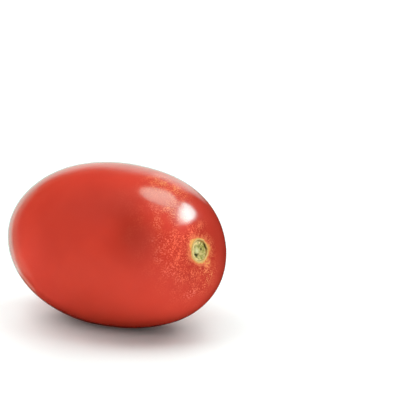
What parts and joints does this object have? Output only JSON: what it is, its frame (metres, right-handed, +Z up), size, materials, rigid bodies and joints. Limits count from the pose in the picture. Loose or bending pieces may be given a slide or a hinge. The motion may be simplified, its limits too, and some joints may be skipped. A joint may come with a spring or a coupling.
{
  "type": "plum tomato",
  "caption": "Ripe red plum tomato, as picked, lying on its side on a small flat spot, with a shallow hollow and a corky scar where the stem was.",
  "frame": {"origin": "middle of the bounding box in plan, at the height of the flat spot that the fruit rests on", "axes": "+X along the fruit's long axis towards the stem end, +Z up, +Y to the left of someone who looks along +X"},
  "size_m": [0.0748, 0.0512, 0.0508],
  "materials": {
    "tomato_skin": "ripe red waxy skin with soft gloss, fine golden specks round the stem end and a dull cream to pale green cork scar"
  },
  "bodies": {
    "root": {"tomato": "tomato_skin"}
  },
  "joints": []
}
